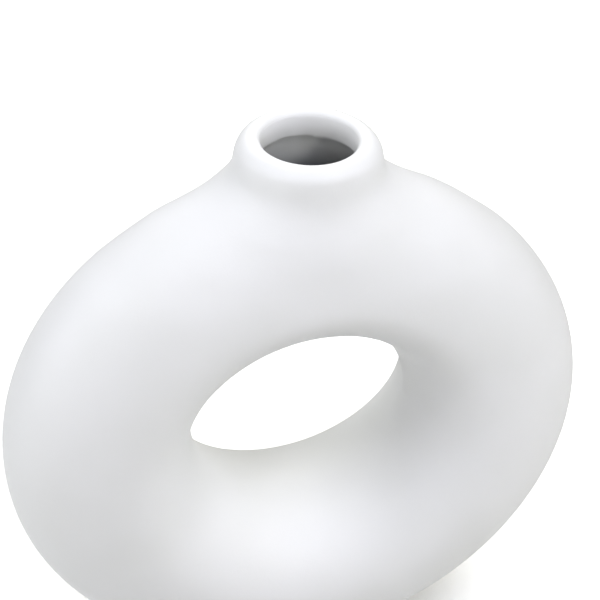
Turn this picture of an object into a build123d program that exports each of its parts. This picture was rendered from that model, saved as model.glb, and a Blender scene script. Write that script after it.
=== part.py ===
from build123d import *
import os
from math import cos, radians, sin, sqrt

# Donut vase of slip-cast ceramic: a hollow ring that stands on edge, with a short neck and a rolled lip.
# Millimetres. X runs across the ring, Y along the hole, the front is -Y, and Z is up from the table.

# Ring, seen from the front: nearly round, with a round hole whose centre lies above the ring's own
ring_width = 200.0
ring_height = 197.0
ring_depth_top = 55.0
ring_depth_bottom = 73.0
hole_radius = 38.3
hole_rise = 7.9
wall = 4.5

# Section of the ring, in shares of its thickness from hole to rim and of its half depth, fuller at the top
crest_share = 0.40
hole_reach_share = 0.44
hole_crest_share = 0.66
rim_crest_top_share = 0.53
rim_crest_bottom_share = 0.45
rim_reach_top_share = 0.70
rim_reach_bottom_share = 0.60
ridge_lean = 5.0  # degrees that each half of the hole's wall leans back from the mould ridge

# Sections stand round the ring at even steps, in degrees
section_step = 15.0
section_overrun = 30.0

# Foot, the flat on the bottom of the ring
foot_length = 68.0
foot_round = 1.5

# Neck, round and upright under the lip, and spread to ovals at the ring's top and at its root in the ring
neck_rise = 14.7
neck_upright = 2.0
neck_top_spread_x = 5.6
neck_top_spread_y = 1.6
neck_root_drop = 20.0
neck_root_length_share = 0.4
neck_root_depth_share = 0.8
neck_flare = 20.0

# Mouth, a straight round bore, and the rolled lip round it, which is thicker than the wall below
mouth_radius = 14.5
mouth_length = 6.0
lip_thickness = 6.4
lip_height = 4.8
lip_outer_share = 0.58
lip_inner_share = 0.26
lip_radius = mouth_radius + lip_thickness

# Anti-slip pads, stuck on the foot
pad_radius = 4.0
pad_thickness = 1.5
pad_round = 0.6
pad_margin = 1.5  # bare foot outside each pad
pad_angle = 45.0  # round the foot's oval, from the X axis

# Heights
foot_z = pad_thickness
ring_centre_z = foot_z + ring_height / 2 * sqrt(1 - (foot_length / ring_width) ** 2)
ring_top_z = ring_centre_z + ring_height / 2
lip_top_z = ring_top_z + neck_rise
neck_root_z = ring_top_z - neck_root_drop
lip_bottom_z = lip_top_z - lip_height
mouth_bottom_z = lip_top_z - lip_thickness * lip_inner_share - mouth_length

upright = (Align.CENTER, Align.CENTER, Align.MIN)


def ring_section(angle, inset):
    """Outline of the ring at this angle round it, from the hole's ridge to the rim, drawn in by the inset."""
    across = cos(radians(angle))
    up = sin(radians(angle))
    ridge_r = hole_radius + inset
    ridge = Vector(ridge_r * across, 0, ring_centre_z + hole_rise + ridge_r * up)
    rim = Vector((ring_width / 2 - inset) * across, 0, ring_centre_z + (ring_height / 2 - inset) * up)

    def graded(top, bottom):
        return (top * (1 + up) + bottom * (1 - up)) / 2

    front = Vector(0, inset - graded(ring_depth_top, ring_depth_bottom) / 2, 0)
    near_rim_share = crest_share + (1 - crest_share) * graded(rim_crest_top_share, rim_crest_bottom_share)
    rim_reach_share = graded(rim_reach_top_share, rim_reach_bottom_share)
    near_hole_share = crest_share * (1 - hole_crest_share)
    lean_share = crest_share * hole_reach_share * sin(radians(ridge_lean))
    upright_share = hole_reach_share * cos(radians(ridge_lean))

    def at(thickness_share, depth_share):
        return ridge + (rim - ridge) * thickness_share + front * depth_share

    def hole_side(side):
        leaning = at(lean_share, side * upright_share)
        return Bezier(ridge, leaning, at(near_hole_share, side), at(crest_share, side))

    rim_points = [at(crest_share, 1), at(near_rim_share, 1), at(1, rim_reach_share)]
    rim_points += [at(1, -rim_reach_share), at(near_rim_share, -1), at(crest_share, -1)]
    rim_side = BSpline(rim_points, [0, 0, 0, 0, 1, 1, 2, 2, 2, 2], 3)
    return Wire([hole_side(1), rim_side, hole_side(-1)])


def long_half_ring(inset):
    """The +X half of the ring, lofted well past the middle at the top and the bottom."""
    reach = 90 + section_overrun
    count = round(2 * reach / section_step)
    sections = [ring_section(-reach + 2 * reach * i / count, inset) for i in range(count + 1)]
    return Part(Solid.make_loft(sections).wrapped)


def with_neck(ring, inset, radius, round_heights):
    """The ring with its neck, drawn in by the inset: two ovals, and round at each of the given heights."""
    root_length = ring_width * neck_root_length_share
    root_depth = ring_depth_top * neck_root_depth_share
    root = Plane.XY.offset(neck_root_z) * Ellipse(root_length / 2 - inset, root_depth / 2 - inset)
    reach = lip_radius - inset
    top = Plane.XY.offset(ring_top_z) * Ellipse(reach + neck_top_spread_x, reach + neck_top_spread_y)
    rounds = [Plane.XY.offset(height) * Circle(radius) for height in round_heights]
    neck = loft([root, top] + rounds)
    return fillet(new_edges(ring, neck, combined=ring + neck), neck_flare + inset)


def above(solid, height):
    return split(solid, Plane.XY.offset(height), keep=Keep.TOP)


def long_half_body():
    """The +X half of the body, run well past the middle, so that no fillet meets the edges there."""
    necked = with_neck(long_half_ring(0), 0, lip_radius, [lip_bottom_z - neck_upright, lip_bottom_z])
    outside = necked + Pos(0, 0, lip_bottom_z) * Cylinder(lip_radius, lip_height, align=upright)
    outside = above(fillet(outside.edges().group_by(Axis.Z)[-1], lip_thickness * lip_outer_share), foot_z)
    outside = fillet(outside.faces().sort_by(Axis.Z)[0].edges(), foot_round)

    water_space = above(with_neck(long_half_ring(wall), wall, mouth_radius, [mouth_bottom_z]), foot_z + wall)
    mouth_height = lip_top_z + wall - mouth_bottom_z
    mouth = Pos(0, 0, mouth_bottom_z) * Cylinder(mouth_radius, mouth_height, align=upright)
    shell = outside - (water_space + mouth)
    mouth_edge = shell.edges().group_by(Axis.Z)[-1].sort_by(SortBy.LENGTH)[0]
    return fillet(mouth_edge, lip_thickness * lip_inner_share)


def foot_pads(foot):
    """Four round pads inside the foot's oval outline, each by its name."""
    inset = pad_radius + pad_margin
    x = (foot.max.X - inset) * cos(radians(pad_angle))
    y = (foot.max.Y - inset) * sin(radians(pad_angle))
    disc = Cylinder(pad_radius, pad_thickness, align=upright)
    disc = fillet(disc.edges().group_by(Axis.Z)[0], pad_round)
    pads = {}
    for depth_name, depth_side in (("front", -1), ("back", 1)):
        for side_name, side in (("left", -1), ("right", 1)):
            pads[f"foot_pad_{depth_name}_{side_name}"] = Pos(side * x, depth_side * y, 0) * disc
    return pads


long_half = long_half_body()
foot = long_half.faces().sort_by(Axis.Z)[0].bounding_box()
half = split(long_half, Plane.YZ, keep=Keep.TOP)
parts = {"vase_body": half + mirror(half, Plane.YZ), **foot_pads(foot)}

os.makedirs("parts", exist_ok=True)
for name, solid in parts.items():
    export_step(solid, f"parts/{name}.step")
    print(name, "volume", round(solid.volume), "mm3")
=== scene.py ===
import bmesh
import bpy
import math
from mathutils import Matrix, Vector


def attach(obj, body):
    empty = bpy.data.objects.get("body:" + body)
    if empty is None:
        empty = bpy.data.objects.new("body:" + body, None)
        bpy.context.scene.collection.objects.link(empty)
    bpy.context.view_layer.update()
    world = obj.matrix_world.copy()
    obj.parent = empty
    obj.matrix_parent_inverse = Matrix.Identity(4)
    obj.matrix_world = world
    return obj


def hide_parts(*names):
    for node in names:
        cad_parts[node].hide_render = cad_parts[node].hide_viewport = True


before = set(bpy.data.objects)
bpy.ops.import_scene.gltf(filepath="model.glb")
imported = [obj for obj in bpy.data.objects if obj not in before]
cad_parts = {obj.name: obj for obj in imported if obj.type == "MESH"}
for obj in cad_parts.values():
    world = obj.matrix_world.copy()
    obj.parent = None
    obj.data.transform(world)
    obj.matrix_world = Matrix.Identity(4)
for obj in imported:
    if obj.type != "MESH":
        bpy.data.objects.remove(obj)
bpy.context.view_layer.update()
scene = bpy.context.scene
scene.view_settings.view_transform = "Standard"
print("frame loaded:", sorted(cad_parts))


# camera, turned a little left of the front and looking down into the mouth
cameraSettings = {
    "azimuth": -17.133,     # degrees, 0 looks along +Y
    "elevation": 38.025,
    "roll": 2.298,
    "distance": 0.40276,    # metres from the target
    "lens": 75.271,         # mm
    "sensor": 36,
    "clip": (0.01, 20),
    "targetAcross": -0.00079,
    "targetHeight": 0.14685,
}


def directionTo(turn, lift):
    return Vector((math.sin(turn) * math.cos(lift), -math.cos(turn) * math.cos(lift), math.sin(lift)))


def makeCamera(s):
    turn, lift, roll = (math.radians(s[k]) for k in ("azimuth", "elevation", "roll"))
    back = directionTo(turn, lift)
    across = Vector((math.cos(turn), math.sin(turn), 0))
    up = back.cross(across)
    target = across * s["targetAcross"] + Vector((0, 0, s["targetHeight"]))
    right = across * math.cos(roll) + up * math.sin(roll)
    top = up * math.cos(roll) - across * math.sin(roll)
    place = target + back * s["distance"]
    data = bpy.data.cameras.new("camera")
    data.lens = s["lens"]
    data.sensor_width = s["sensor"]
    data.clip_start, data.clip_end = s["clip"]
    camera = bpy.data.objects.new("camera", data)
    camera.matrix_world = Matrix((
        (right.x, top.x, back.x, place.x),
        (right.y, top.y, back.y, place.y),
        (right.z, top.z, back.z, place.z),
        (0, 0, 0, 1),
    ))
    scene.collection.objects.link(camera)
    scene.camera = camera


makeCamera(cameraSettings)
print("camera placed")


# the vase's skin as it shows: the CAD shell, its neck spread under the lip and eased into the ring
neckSettings = {
    "merge": 0.000001,
    "lowest": 0.158,            # the neck is eased between these heights
    "highest": 0.2065,
    "coneHeight": 0.2005,       # it spreads most just below the lip
    "coneReach": (0.0100, 0.0065),      # down and up from there
    "coneNear": (0.030, 0.045),         # and not beyond the neck itself
    "coneSides": 0.0016,
    "coneFront": 0.0005,
    "fillHeight": 0.1780,       # hollow between neck and ring, front and back
    "fillReach": 0.0115,
    "fillDepth": 0.060,         # share of the half depth there
    "fillAcross": (0.016, 0.036),
    "shoulderPlace": 0.037,     # the ring's top is fuller beside the neck
    "shoulderReach": (0.018, 0.030),    # towards the neck and away from it
    "shoulderLift": 0.0015,
    "easeHeights": (0.166, 0.172, 0.196, 0.200),
    "easePasses": 12,
    "holeMiddle": 0.1020,
    "holeRadius": 0.0383,
    "holeMargin": 0.001,
    "ridgeReach": 0.0050,       # the mould's parting ridge round the hole
    "ridgeFlat": 0.00005,       # edges this near the middle plane are on its crest
    "ridgeHeight": 0.0004,
    "ridgeFade": (-0.75, -0.15),        # it is worn away towards the hole's bottom
}


def rise(value, low, high):
    share = min(max((value - low) / (high - low), 0), 1)
    return share * share * (3 - 2 * share)


def hump(value, middle, below, above):
    reach = below if value < middle else above
    return rise(reach - abs(value - middle), 0, reach)


def easeNeck(node, s):
    bm = bmesh.new()
    bm.from_mesh(node.data)
    bmesh.ops.remove_doubles(bm, verts=bm.verts, dist=s["merge"])
    bm.normal_update()
    outside = [v for v in bm.verts if s["lowest"] < v.co.z < s["highest"] and v.normal.xy.dot(v.co.xy) > 0]
    moves = []
    for v in outside:
        reach = v.co.xy.length
        sideways = (v.co.x / reach) ** 2
        cone = hump(v.co.z, s["coneHeight"], *s["coneReach"])
        cone *= s["coneFront"] + (s["coneSides"] - s["coneFront"]) * sideways
        fill = hump(v.co.z, s["fillHeight"], s["fillReach"], s["fillReach"]) * s["fillDepth"]
        fill *= 1 - rise(abs(v.co.x), *s["fillAcross"])
        near = 1 - rise(reach, *s["coneNear"])
        lift = hump(abs(v.co.x), s["shoulderPlace"], *s["shoulderReach"]) * s["shoulderLift"] * max(v.normal.z, 0)
        spread = cone * near / reach
        moves.append(Vector((v.co.x * spread, v.co.y * (spread + fill), lift)))
    for v, move in zip(outside, moves):
        v.co += move
    low, full, fullTop, top = s["easeHeights"]
    for i in range(s["easePasses"]):
        share = i / s["easePasses"]
        band = [v for v in outside if low + (full - low) * share < v.co.z < top + (fullTop - top) * share]
        bmesh.ops.smooth_vert(bm, verts=band, factor=0.5, use_axis_x=True, use_axis_y=True, use_axis_z=True)
    middle = Vector((0, 0, s["holeMiddle"]))
    holeReach = s["holeRadius"] + s["holeMargin"]
    for v in bm.verts:
        spoke = Vector((v.co.x, 0, v.co.z)) - middle
        if abs(v.co.y) < s["ridgeReach"] and spoke.length < holeReach:
            spoke.normalize()
            height = s["ridgeHeight"] * rise(spoke.z, *s["ridgeFade"])
            v.co -= spoke * height * (1 - abs(v.co.y) / s["ridgeReach"]) ** 2
    for edge in bm.edges:
        ends = [Vector((v.co.x, 0, v.co.z)) - middle for v in edge.verts]
        flat = all(abs(v.co.y) < s["ridgeFlat"] for v in edge.verts)
        high = all(end.length < holeReach and end.z > s["ridgeFade"][1] * end.length for end in ends)
        edge.smooth = not (flat and high)
    mesh = bpy.data.meshes.new("vaseSkin")
    bm.to_mesh(mesh)
    bm.free()
    mesh.attributes.remove(mesh.attributes["custom_normal"])
    mesh.polygons.foreach_set("use_smooth", [True] * len(mesh.polygons))
    piece = bpy.data.objects.new("vaseSkin", mesh)
    scene.collection.objects.link(piece)
    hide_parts("vase_body")
    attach(piece, "root")
    return piece


vaseSkin = easeNeck(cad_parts["vase_body"], neckSettings)
print("vase skin eased:", len(vaseSkin.data.polygons), "faces")


# small helpers for node trees
def newMaterial(name):
    material = bpy.data.materials.new(name)
    material.use_nodes = True
    tree = material.node_tree
    tree.nodes.clear()
    return material, tree


def addNode(tree, kind, x, y, **values):
    node = tree.nodes.new(kind)
    node.location = (x, y)
    for key, value in values.items():
        setattr(node, key, value)
    return node


def feed(tree, source, target):
    tree.links.new(source, target)


def addMath(tree, operation, x, y, first, second=None, clamp=False):
    node = addNode(tree, "ShaderNodeMath", x, y, operation=operation, use_clamp=clamp)
    for i, value in enumerate((first, second)):
        if value is None:
            continue
        if isinstance(value, (int, float)):
            node.inputs[i].default_value = value
        else:
            feed(tree, value, node.inputs[i])
    return node.outputs[0]


def addRange(tree, x, y, value, low, high, start, end):
    node = addNode(tree, "ShaderNodeMapRange", x, y, interpolation_type="SMOOTHSTEP")
    feed(tree, value, node.inputs["Value"])
    for name, number in (("From Min", low), ("From Max", high), ("To Min", start), ("To Max", end)):
        node.inputs[name].default_value = number
    return node.outputs["Result"]


def mixColour(tree, x, y, mask, first, second):
    node = addNode(tree, "ShaderNodeMix", x, y, data_type="RGBA")
    feed(tree, mask, node.inputs[0])
    for socket, value in ((node.inputs[6], first), (node.inputs[7], second)):
        if isinstance(value, tuple):
            socket.default_value = value
        else:
            feed(tree, value, socket)
    return node.outputs[2]


def mixNumber(tree, x, y, mask, first, second):
    node = addNode(tree, "ShaderNodeMix", x, y, data_type="FLOAT")
    feed(tree, mask, node.inputs[0])
    for socket, value in ((node.inputs[2], first), (node.inputs[3], second)):
        if isinstance(value, (int, float)):
            socket.default_value = value
        else:
            feed(tree, value, socket)
    return node.outputs[0]


# effects that more than one material uses
def startGroup(name, numbers, results):
    group = bpy.data.node_groups.new(name, "ShaderNodeTree")
    group.interface.new_socket("Place", in_out="INPUT", socket_type="NodeSocketVector")
    for socket, value in numbers.items():
        group.interface.new_socket(socket, in_out="INPUT", socket_type="NodeSocketFloat").default_value = value
    for socket in results:
        group.interface.new_socket(socket, in_out="OUTPUT", socket_type="NodeSocketFloat")
    return group, addNode(group, "NodeGroupInput", -900, 0), addNode(group, "NodeGroupOutput", 500, 0)


def makeUnevenGroup():      # clouds of a few centimetres, and a grain under a millimetre
    group, entry, leave = startGroup("unevenSkin", {"Cloud Scale": 20.0, "Grain Scale": 900.0}, ["Cloud", "Grain"])
    for socket, scale, detail, y in (("Cloud", "Cloud Scale", 2.0, 200), ("Grain", "Grain Scale", 3.0, -200)):
        noise = addNode(group, "ShaderNodeTexNoise", -500, y)
        noise.inputs["Detail"].default_value = detail
        feed(group, entry.outputs["Place"], noise.inputs["Vector"])
        feed(group, entry.outputs[scale], noise.inputs["Scale"])
        feed(group, noise.outputs[0], leave.inputs[socket])
    return group


speckSharpness = 120.0


def makeSpeckGroup():       # sparse round specks: a few cells of many hold one
    group, entry, leave = startGroup("firedSpecks", {"Cell Scale": 90.0, "Radius": 0.03, "Share": 0.1}, ["Specks"])
    cells = addNode(group, "ShaderNodeTexVoronoi", -700, 0)
    feed(group, entry.outputs["Place"], cells.inputs["Vector"])
    feed(group, entry.outputs["Cell Scale"], cells.inputs["Scale"])
    parts = addNode(group, "ShaderNodeSeparateColor", -500, -150)
    feed(group, cells.outputs["Color"], parts.inputs[0])
    chosen = addMath(group, "LESS_THAN", -300, -150, parts.outputs[0], entry.outputs["Share"])
    reach = addMath(group, "MULTIPLY", -300, -320, parts.outputs[1], entry.outputs["Radius"])
    near = addMath(group, "SUBTRACT", -100, 0, reach, cells.outputs["Distance"])
    soft = addMath(group, "MULTIPLY", 100, 0, near, speckSharpness, clamp=True)
    feed(group, addMath(group, "MULTIPLY", 300, 0, soft, chosen), leave.inputs["Specks"])
    return group


unevenSkin = makeUnevenGroup()
firedSpecks = makeSpeckGroup()


def addGroup(tree, group, x, y, place, **numbers):
    node = addNode(tree, "ShaderNodeGroup", x, y, node_tree=group)
    feed(tree, place, node.inputs["Place"])
    for name, value in numbers.items():
        node.inputs[name.replace("_", " ")].default_value = value
    return node


# the vase: satin white glaze outside and in the mouth, lighter in the mouth as painted light; bare clay inside,
# darkened as painted shade and lightened just below the mouth as painted light; bare clay under the foot
vaseSettings = {
    "glazeLight": (0.842, 0.846, 0.850, 1),
    "glazeDeep": (0.800, 0.806, 0.800, 1),
    "mouthPaintedLight": (0.905, 0.910, 0.915, 1),    # painted light: the mouth's glaze is lighter, standing in for light reaching the mouth wall
    # painted shade: the bare clay inside is dark, standing in for the shade in the hollow; the blotches vary at
    # random
    "insideClayPaintedShade": (0.17, 0.175, 0.18, 1),
    "insideClayBlotchPaintedShade": (0.13, 0.135, 0.14, 1),
    "insidePaintedLight": (0.86, 0.87, 0.875, 1),        # painted light: the clay just below the mouth is lighter, standing in for light falling in through the mouth
    "insidePaintedLightHeights": (0.183, 0.197),      # it fades out downwards, darker lower in the hollow
    "clayFoot": (0.70, 0.69, 0.66, 1),
    "speck": (0.33, 0.30, 0.26, 1),
    "glazeRough": (0.50, 0.60),
    "clayRough": 0.85,
    "cloudRange": (0.35, 0.65),
    "grainRange": (0.3, 0.7),
    "grainHeight": 0.00002,
    "cloudHeight": 0.00012,
    "pitHeight": -0.00008,
    "tubeRadius": 0.069,        # of the middle line that the hollow ring follows
    "tubeMiddle": 0.098,
    "mouthBottom": 0.1997,      # where the mouth's straight wall ends and the glaze stops
    "mouthBlur": 0.0006,
    "waver": 0.0012,
    "footLine": 0.0024,         # the glaze is wiped off below this height
    "footBlur": 0.0004,
}


def addInsideMask(tree, s, place):
    # the skin faces the tube's middle line inside the vase, and away from it outside
    geometry = addNode(tree, "ShaderNodeNewGeometry", -1900, -500)
    centred = addNode(tree, "ShaderNodeVectorMath", -1900, -200, operation="SUBTRACT")
    feed(tree, place, centred.inputs[0])
    centred.inputs[1].default_value = (0, 0, s["tubeMiddle"])
    flat = addNode(tree, "ShaderNodeVectorMath", -1720, -320, operation="MULTIPLY")
    feed(tree, centred.outputs[0], flat.inputs[0])
    flat.inputs[1].default_value = (1, 0, 1)
    outward = addNode(tree, "ShaderNodeVectorMath", -1540, -320, operation="NORMALIZE")
    feed(tree, flat.outputs[0], outward.inputs[0])
    middle = addNode(tree, "ShaderNodeVectorMath", -1360, -320, operation="SCALE")
    feed(tree, outward.outputs[0], middle.inputs[0])
    middle.inputs["Scale"].default_value = s["tubeRadius"]
    away = addNode(tree, "ShaderNodeVectorMath", -1180, -200, operation="SUBTRACT")
    feed(tree, centred.outputs[0], away.inputs[0])
    feed(tree, middle.outputs[0], away.inputs[1])
    facing = addNode(tree, "ShaderNodeVectorMath", -1000, -350, operation="DOT_PRODUCT")
    feed(tree, away.outputs[0], facing.inputs[0])
    feed(tree, geometry.outputs["Normal"], facing.inputs[1])
    return addMath(tree, "LESS_THAN", -820, -350, facing.outputs["Value"], 0.0)


def makeVaseFinish(s):
    material, tree = newMaterial("satinGlaze")
    out = addNode(tree, "ShaderNodeOutputMaterial", 900, 0)
    skin = addNode(tree, "ShaderNodeBsdfPrincipled", 600, 0)
    feed(tree, skin.outputs["BSDF"], out.inputs["Surface"])
    place = addNode(tree, "ShaderNodeTexCoord", -2200, 0).outputs["Object"]
    height = addNode(tree, "ShaderNodeSeparateXYZ", -1900, 200)
    feed(tree, place, height.inputs[0])
    uneven = addGroup(tree, unevenSkin, -1400, 500, place, Cloud_Scale=16.0, Grain_Scale=1400.0)
    specks = addGroup(tree, firedSpecks, -1400, 250, place, Cell_Scale=70.0, Radius=0.045, Share=0.16)
    cloud, grain = uneven.outputs["Cloud"], uneven.outputs["Grain"]

    # where the glaze ends: a wavering line inside the mouth's lower edge, and one above the foot
    waver = addMath(tree, "MULTIPLY", -1150, 350, addMath(tree, "SUBTRACT", -1320, 350, cloud, 0.5), s["waver"])
    level = addMath(tree, "ADD", -980, 250, height.outputs["Z"], waver)
    below = addRange(tree, -800, -100, level, s["mouthBottom"] - s["mouthBlur"], s["mouthBottom"], 1.0, 0.0)
    facingIn = addInsideMask(tree, s, place)
    inside = addMath(tree, "MULTIPLY", -600, -200, facingIn, below)
    foot = addRange(tree, -800, 100, level, s["footLine"] - s["footBlur"], s["footLine"], 1.0, 0.0)

    cloudy = addRange(tree, -600, 600, cloud, *s["cloudRange"], 0.0, 1.0)
    glaze = mixColour(tree, -400, 500, cloudy, s["glazeLight"], s["glazeDeep"])
    glaze = mixColour(tree, -220, 450, specks.outputs["Specks"], glaze, s["speck"])
    # painted shade: the inside clay is dark for the shade in the hollow, with random darker blotches
    clay = mixColour(tree, -400, 250, cloudy, s["insideClayPaintedShade"], s["insideClayBlotchPaintedShade"])
    # painted light: the inside clay turns lighter towards the mouth, where light falls in
    paintedLightShare = addRange(tree, -400, 100, level, *s["insidePaintedLightHeights"], 0.0, 1.0)
    clay = mixColour(tree, -220, 200, paintedLightShare, clay, s["insidePaintedLight"])
    # painted light: the glaze facing inward, on the mouth wall, is lighter than the body's glaze
    glaze = mixColour(tree, -100, 550, facingIn, glaze, s["mouthPaintedLight"])
    colour = mixColour(tree, 0, 350, inside, glaze, clay)
    colour = mixColour(tree, 200, 300, foot, colour, s["clayFoot"])
    feed(tree, colour, skin.inputs["Base Color"])

    sheen = addRange(tree, -400, 0, grain, *s["grainRange"], *s["glazeRough"])
    rough = mixNumber(tree, -200, 0, inside, sheen, s["clayRough"])
    feed(tree, mixNumber(tree, 0, 0, foot, rough, s["clayRough"]), skin.inputs["Roughness"])

    # relief in metres: the moulded skin's slow unevenness, a fine grain, and a pit at each speck
    slow = addMath(tree, "MULTIPLY", -400, -400, cloud, s["cloudHeight"])
    fine = addMath(tree, "MULTIPLY", -400, -550, grain, s["grainHeight"])
    pits = addMath(tree, "MULTIPLY", -400, -700, specks.outputs["Specks"], s["pitHeight"])
    relief = addMath(tree, "ADD", -50, -500, addMath(tree, "ADD", -220, -450, slow, fine), pits)
    bump = addNode(tree, "ShaderNodeBump", 200, -400)
    bump.inputs["Distance"].default_value = 1.0
    feed(tree, relief, bump.inputs["Height"])
    feed(tree, bump.outputs["Normal"], skin.inputs["Normal"])
    return material


# the stick-on pads: frosted silicone, tinted by the clay behind it
padSettings = {
    "light": (0.70, 0.71, 0.70, 1),
    "deep": (0.62, 0.63, 0.62, 1),
    "dust": (0.42, 0.40, 0.37, 1),
    "rough": (0.38, 0.55),
    "grainRange": (0.3, 0.7),
    "refraction": 1.41,
    "grainHeight": 0.00003,
}


def makePadFinish(s):
    material, tree = newMaterial("frostedSilicone")
    out = addNode(tree, "ShaderNodeOutputMaterial", 700, 0)
    skin = addNode(tree, "ShaderNodeBsdfPrincipled", 400, 0)
    skin.inputs["IOR"].default_value = s["refraction"]
    feed(tree, skin.outputs["BSDF"], out.inputs["Surface"])
    place = addNode(tree, "ShaderNodeTexCoord", -1200, 0).outputs["Object"]
    uneven = addGroup(tree, unevenSkin, -900, 200, place, Cloud_Scale=220.0, Grain_Scale=2600.0)
    dust = addGroup(tree, firedSpecks, -900, -100, place, Cell_Scale=900.0, Radius=0.12, Share=0.18)
    colour = mixColour(tree, -300, 200, uneven.outputs["Cloud"], s["light"], s["deep"])
    colour = mixColour(tree, 0, 150, dust.outputs["Specks"], colour, s["dust"])
    feed(tree, colour, skin.inputs["Base Color"])
    grain = uneven.outputs["Grain"]
    rough = addRange(tree, -300, -50, grain, *s["grainRange"], *s["rough"])
    feed(tree, rough, skin.inputs["Roughness"])
    bump = addNode(tree, "ShaderNodeBump", 100, -300)
    bump.inputs["Distance"].default_value = 1.0
    feed(tree, addMath(tree, "MULTIPLY", -100, -300, grain, s["grainHeight"]), bump.inputs["Height"])
    feed(tree, bump.outputs["Normal"], skin.inputs["Normal"])
    return material


finishes = {"vase": makeVaseFinish(vaseSettings), "foot": makePadFinish(padSettings)}
for name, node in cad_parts.items():
    node.data.materials.clear()
    node.data.materials.append(finishes[name.split("_")[0]])
vaseSkin.data.materials.append(finishes["vase"])
print("finishes made:", [material.name for material in finishes.values()])


# white floor and surroundings, with a painted contact shadow round the vase added to the floor's lit shadow
stageSettings = {
    "floorSize": 6.0,
    "floorColour": (0.86, 0.86, 0.85, 1),
    "floorLift": 0.60,          # what the camera sees on top of the lit floor
    "paintedShadowReach": 0.07,       # painted contact shadow: metres within which the floor's glow for the camera is dimmed near the vase
    "paintedShadowRange": (0.35, 0.95),
    "whiteRange": (0.4, 0.8),   # metres from the middle over which it turns white for the camera
}


def makeStage(s):
    mesh = bpy.data.meshes.new("floor")
    bm = bmesh.new()
    bmesh.ops.create_grid(bm, x_segments=1, y_segments=1, size=s["floorSize"] / 2)
    bm.to_mesh(mesh)
    bm.free()
    floor = bpy.data.objects.new("floor", mesh)
    scene.collection.objects.link(floor)
    material, tree = newMaterial("floorPaper")
    out = addNode(tree, "ShaderNodeOutputMaterial", 400, 0)
    paper = addNode(tree, "ShaderNodeBsdfDiffuse", 0, 100)
    paper.inputs["Color"].default_value = s["floorColour"]
    glow = addNode(tree, "ShaderNodeEmission", 0, -100)
    path = addNode(tree, "ShaderNodeLightPath", -600, 0)
    # painted contact shadow: ambient occlusion dims the floor's glow for the camera near the vase
    paintedShadowAO = addNode(tree, "ShaderNodeAmbientOcclusion", -800, -200, samples=16)
    paintedShadowAO.inputs["Distance"].default_value = s["paintedShadowReach"]
    clear = addRange(tree, -600, -200, paintedShadowAO.outputs["AO"], *s["paintedShadowRange"], 0.0, s["floorLift"])
    place = addNode(tree, "ShaderNodeTexCoord", -1000, -500).outputs["Object"]
    away = addNode(tree, "ShaderNodeVectorMath", -800, -500, operation="LENGTH")
    feed(tree, place, away.inputs[0])
    far = addRange(tree, -600, -500, away.outputs["Value"], *s["whiteRange"], 0.0, 1.0)
    lift = addMath(tree, "MAXIMUM", -400, -300, clear, far)
    strength = addMath(tree, "MULTIPLY", -200, -100, path.outputs["Is Camera Ray"], lift)
    feed(tree, strength, glow.inputs["Strength"])
    both = addNode(tree, "ShaderNodeAddShader", 200, 0)
    feed(tree, paper.outputs[0], both.inputs[0])
    feed(tree, glow.outputs[0], both.inputs[1])
    feed(tree, both.outputs[0], out.inputs["Surface"])
    mesh.materials.append(material)

    world = bpy.data.worlds.new("studio")
    world.use_nodes = True
    scene.world = world
    tree = world.node_tree
    tree.nodes.clear()
    out = addNode(tree, "ShaderNodeOutputWorld", 400, 0)
    seen = addNode(tree, "ShaderNodeBackground", 0, -100)
    seen.inputs["Color"].default_value = (1, 1, 1, 1)
    dark = addNode(tree, "ShaderNodeBackground", 0, 100)
    dark.inputs["Strength"].default_value = 0.0
    path = addNode(tree, "ShaderNodeLightPath", 0, 400)
    mix = addNode(tree, "ShaderNodeMixShader", 200, 0)
    feed(tree, path.outputs["Is Camera Ray"], mix.inputs[0])
    feed(tree, dark.outputs[0], mix.inputs[1])
    feed(tree, seen.outputs[0], mix.inputs[2])
    feed(tree, mix.outputs[0], out.inputs["Surface"])


makeStage(stageSettings)
print("floor and surroundings made")


# soft lamps, each aimed at the vase
lampSettings = {
    "window": {"turn": 25, "lift": 40, "distance": 1.2, "size": 0.2, "power": 3.3, "colour": (1.0, 0.98, 0.86)},
    "left": {"turn": -100, "lift": 20, "distance": 1.2, "size": 0.9, "power": 6.60, "colour": (0.95, 0.97, 1.0)},
    "right": {"turn": 75, "lift": 30, "distance": 1.2, "size": 0.9, "power": 3.4, "colour": (1.0, 0.98, 0.91)},
    "backRight": {"turn": 130, "lift": 40, "distance": 1.2, "size": 0.9, "power": 0.85, "colour": (1.0, 0.94, 0.70)},
    "topRight": {"turn": 30, "lift": 60, "distance": 0.6, "size": 0.4, "power": 1.78, "colour": (0.82, 0.84, 1.0)},
    "topLeft": {"turn": -60, "lift": 50, "distance": 0.6, "size": 0.4, "power": 1.05, "colour": (1.0, 0.99, 1.0)},
    "back": {"turn": 170, "lift": 40, "distance": 0.6, "size": 0.4, "power": 1.56, "colour": (1.0, 1.0, 0.95)},
}
lampTarget = Vector((0, 0, 0.1))


def makeLamp(name, s):
    back = directionTo(math.radians(s["turn"]), math.radians(s["lift"]))
    data = bpy.data.lights.new(name, "AREA")
    data.shape = "DISK"
    data.size = s["size"]
    data.energy = s["power"]
    data.color = s["colour"]
    lamp = bpy.data.objects.new(name, data)
    lamp.location = lampTarget + back * s["distance"]
    lamp.rotation_euler = back.to_track_quat("Z", "Y").to_euler()
    scene.collection.objects.link(lamp)


for lampName, lampValues in lampSettings.items():
    makeLamp(lampName, lampValues)
print("lamps placed:", len(lampSettings))
